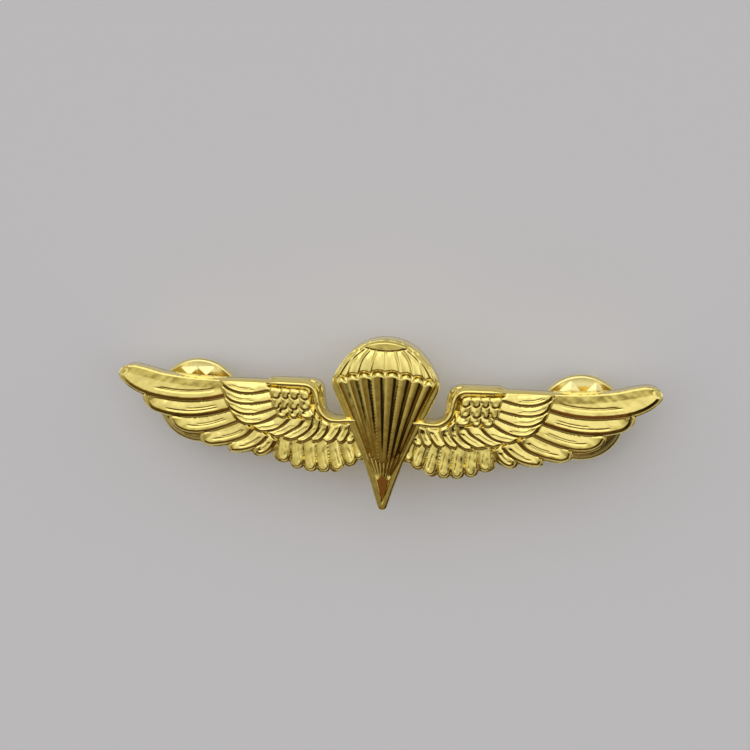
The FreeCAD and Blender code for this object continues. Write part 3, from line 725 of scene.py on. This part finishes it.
def build_badge():
    """Two wings, mirror images, and the parachute, in place of the CAD body."""
    wing = wing_relief()
    middle = parachute_relief()
    low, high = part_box("right_solder")
    post_x, post_y = (low[0] + high[0]) / 2 / MM, (low[1] + high[1]) / 2 / MM - DRAWING_Y
    pocket_r, pocket_depth = (high[0] - low[0]) / 2 / MM, high[2] / MM - BACK_Z
    verts, faces = mesh_from_relief(wing, [(post_x, post_y, pocket_r, pocket_depth)], BACK_Z + SEAM)
    pieces = [add_mesh("badge_wing_right", verts, faces, BADGE_GOLD),
              add_mesh("badge_wing_left", verts, faces, BADGE_GOLD, mirror=True)]
    verts, faces = mesh_from_relief(middle, [], BACK_Z)
    pieces.append(add_mesh("badge_parachute", verts, faces, BADGE_GOLD))
    for piece in pieces:
        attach(piece, "badge")
        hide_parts("badge_body")


def tooth_field(x, y, pitch):
    """Eight square pyramids, 1 at each point and 0 at each foot, two by each side of the disc."""
    squareness = 14
    teeth = np.zeros(x.shape)
    near, far = pitch / 2, 1.5 * pitch
    for sx in (-1, 1):
        for sy in (-1, 1):
            for cx, cy in ((sx * near, sy * far), (sx * far, sy * near)):
                span = (np.abs(x - cx) ** squareness + np.abs(y - cy) ** squareness)
                teeth = np.maximum(teeth, 1 - span ** (1 / squareness) / (pitch / 2))
    return teeth


def clutch_disc(side):
    """The stamped disc: smoothly rolled rim, eight hollow teeth and the eyelet's hole."""
    low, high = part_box(side + "_clutch_base")
    middle_x, middle_y = (low[0] + high[0]) / 2 / MM, (low[1] + high[1]) / 2 / MM
    tooth_h, pitch, sheet, roll, hole_r = 0.6, 2.3, 0.35, 0.4, 0.92
    flange_r, crest, swell, hollowness = 1.6, 0.3, 0.16, 0.8
    plane = high[2] / MM - tooth_h          # the flat face between the CAD disc's teeth
    radius = (high[0] - low[0]) / 2 / MM
    roll_at = radius - roll
    rolled = np.sin(np.linspace(0, np.pi / 2, 14)[1:]) * roll
    rings = np.r_[np.linspace(hole_r, roll_at, 60), roll_at + rolled]
    spokes = 360
    angle = np.linspace(0, 2 * np.pi, spokes, endpoint=False)
    rr, tt = np.meshgrid(rings, angle, indexing="ij")
    x, y = rr * np.cos(tt), rr * np.sin(tt)

    # the sheet rises a little from the roll to the teeth and drops again round the eyelet's flange
    from_roll = rr - roll_at
    torus = np.sqrt(np.clip(roll ** 2 - from_roll ** 2, 0, None))
    raised = (roll + 0.06) * ease((rr - flange_r) / 1.1)
    slope = raised + (roll - raised) * (1 - ease(-from_roll / 1.1))
    dome = swell * ease((roll_at - roll - rr) / 2.9) * ease((rr - flange_r) / 0.6)
    teeth = tooth_field(x, y, pitch)
    pressed = crest * teeth + dome * (1 - teeth)
    top = np.where(from_roll > 0, torus, slope) + pressed
    inner = raised - sheet + hollowness * pressed
    under = np.where(from_roll > -roll, np.minimum(-torus, -sheet), inner)
    under = np.where(from_roll > 0, -torus, under)

    upper = np.stack([x, y, plane + top], axis=-1)
    lower = np.stack([x, y, plane + under], axis=-1)[:-1]
    count = len(rings)
    turn = math.radians(DISC_TURN[side])
    c, s = math.cos(turn), math.sin(turn)
    verts = [(middle_x + c * px - s * py, middle_y - DRAWING_Y + s * px + c * py, pz)
             for px, py, pz in np.vstack([upper.reshape(-1, 3), lower.reshape(-1, 3)])]

    def at(sheet_side, ring, spoke):
        shared = sheet_side == 0 or ring == count - 1
        return (0 if shared else count * spokes) + ring * spokes + spoke % spokes

    faces = []
    for j in range(spokes):
        for i in range(count - 1):
            faces.append([at(0, i, j), at(0, i + 1, j), at(0, i + 1, j + 1), at(0, i, j + 1)])
            faces.append([at(1, i, j), at(1, i, j + 1), at(1, i + 1, j + 1), at(1, i + 1, j)])
        faces.append([at(0, 0, j), at(0, 0, j + 1), at(1, 0, j + 1), at(1, 0, j)])
    piece = add_mesh(side + "_disc", verts, faces, CLUTCH_GOLD)
    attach(piece, side + "_clutch")
    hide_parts(side + "_clutch_base")


def dress_nodes():
    """Gives each CAD node that stays its material."""
    looks = {"post": BADGE_GOLD, "solder": SOLDER, "spring": SPRING}
    for name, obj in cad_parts.items():
        if name == "badge_body" or name.endswith("_clutch_base"):
            continue
        look = looks.get(name.rsplit("_", 1)[-1], CLUTCH_GOLD)
        obj.data.materials.clear()
        obj.data.materials.append(look)


def build_floor():
    """A wide pale floor under the clutches."""
    size = 3.0
    mesh = bpy.data.meshes.new("floor")
    mesh.from_pydata([(-size, -size, 0), (size, -size, 0), (size, size, 0), (-size, size, 0)], [],
                     [(0, 1, 2, 3)])
    mesh.materials.append(floor_material())
    floor = bpy.data.objects.new("floor", mesh)
    bpy.context.scene.collection.objects.link(floor)


def build_light():
    """A bright room on the canopy's side, darker on the other, and one broad soft lamp."""
    world = bpy.data.worlds.new("studio")
    world.use_nodes = True
    nodes, links = world.node_tree.nodes, world.node_tree.links
    background = nodes["Background"]
    place = nodes.new("ShaderNodeTexCoord")
    split = nodes.new("ShaderNodeSeparateXYZ")
    links.new(place.outputs["Generated"], split.inputs["Vector"])
    spread = nodes.new("ShaderNodeMapRange")
    spread.inputs["From Min"].default_value = -1.0
    links.new(split.outputs["Y"], spread.inputs["Value"])
    ramp = nodes.new("ShaderNodeValToRGB")
    # colours from the spike's side of the room, through overhead, to the canopy's side
    stops = [(-1.0, (0.3, 0.28, 0.25)), (-0.74, (0.045, 0.026, 0.01)), (-0.4, (0.14, 0.085, 0.03)),
             (-0.2, (0.36, 0.33, 0.26)), (-0.08, (0.66, 0.64, 0.58)), (0.04, (0.98, 0.99, 1.1)),
             (0.28, (1.06, 1.08, 1.26)), (0.56, (0.66, 0.66, 0.72)), (0.95, (0.34, 0.33, 0.34))]
    elements = ramp.color_ramp.elements
    while len(elements) < len(stops):
        elements.new(0.5)
    for element, (y, colour) in zip(elements, stops):
        element.position = (y + 1) / 2
        element.color = (*colour, 1)
    links.new(spread.outputs["Result"], ramp.inputs["Fac"])
    # soft-edged cards hung in the room: direction, reach and colour
    cards = [
        ((0.36, -0.34, 0.87), 0.30, (0.01, 0.007, 0.004)),
        ((0.0, -0.54, 0.84), 0.20, (0.20, 0.08, 0.045)),
        ((-0.7, 0.4, 0.6), 0.35, (0.5, 0.48, 0.42)),
        ((0.7, 0.4, 0.6), 0.35, (0.55, 0.52, 0.46)),
        ((-0.85, -0.30, 0.43), 0.45, (0.46, 0.43, 0.36)),
        ((0.90, -0.22, 0.38), 0.40, (0.42, 0.40, 0.34)),
    ]
    shade = ramp.outputs["Color"]
    for centre, reach, colour in cards:
        gap = nodes.new("ShaderNodeVectorMath")
        gap.operation = "DISTANCE"
        gap.inputs[1].default_value = centre
        links.new(place.outputs["Generated"], gap.inputs[0])
        edge = nodes.new("ShaderNodeMapRange")
        edge.interpolation_type = "SMOOTHSTEP"
        edge.inputs["From Min"].default_value = 0.6 * reach
        edge.inputs["From Max"].default_value = reach
        edge.inputs["To Min"].default_value = 1.0
        edge.inputs["To Max"].default_value = 0.0
        links.new(gap.outputs["Value"], edge.inputs["Value"])
        mix = nodes.new("ShaderNodeMix")
        mix.data_type = "RGBA"
        mix.inputs["B"].default_value = (*colour, 1)
        links.new(edge.outputs["Result"], mix.inputs["Factor"])
        links.new(shade, mix.inputs["A"])
        shade = mix.outputs["Result"]
    clouds = nodes.new("ShaderNodeTexNoise")
    clouds.inputs["Scale"].default_value = 3.0
    clouds.inputs["Detail"].default_value = 2.0
    links.new(place.outputs["Generated"], clouds.inputs["Vector"])
    level = nodes.new("ShaderNodeMapRange")
    level.inputs["From Min"].default_value = 0.3
    level.inputs["From Max"].default_value = 0.7
    level.inputs["To Min"].default_value = 0.7
    level.inputs["To Max"].default_value = 1.2
    links.new(clouds.outputs["Fac"], level.inputs["Value"])
    links.new(shade, background.inputs["Color"])
    links.new(level.outputs["Result"], background.inputs["Strength"])
    bpy.context.scene.world = world

    lamp = bpy.data.lights.new("lamp", "SUN")
    lamp.energy = 0.35
    lamp.angle = math.radians(50)
    lamp_object = bpy.data.objects.new("lamp", lamp)
    lamp_object.rotation_euler = Vector((0.15, -0.6, -0.8)).to_track_quat("-Z", "Y").to_euler()
    bpy.context.scene.collection.objects.link(lamp_object)


def build_camera():
    """Nearly square to the badge, a little towards the canopy's side and to the right."""
    distance, pitch, yaw, roll = 170.0, math.radians(11.0), math.radians(5.305), math.radians(1.488)
    offset_x, offset_y, lens, sensor = 1.2476, -6.2178, 63.38688, 36.0
    back = Vector((math.sin(yaw) * math.cos(pitch), math.sin(pitch), math.cos(yaw) * math.cos(pitch)))
    right = Vector((0, 1, 0)).cross(back).normalized()
    up = back.cross(right)
    turned_right = math.cos(roll) * right + math.sin(roll) * up
    turned_up = -math.sin(roll) * right + math.cos(roll) * up
    place = distance * back - offset_x * turned_right - offset_y * turned_up
    centre = Vector((0, DRAWING_Y, FACE_Z))
    data = bpy.data.cameras.new("camera")
    data.sensor_width = sensor
    data.lens = lens
    data.clip_start = 0.001
    camera = bpy.data.objects.new("camera", data)
    rows = Matrix((turned_right, turned_up, back)).transposed().to_4x4()
    camera.matrix_world = Matrix.Translation((place + centre) * MM) @ rows
    bpy.context.scene.collection.objects.link(camera)
    bpy.context.scene.camera = camera


build_badge()
for clutch_side in DISC_TURN:
    clutch_disc(clutch_side)
dress_nodes()
build_floor()
build_light()
build_camera()
bpy.context.scene.view_settings.view_transform = "Standard"
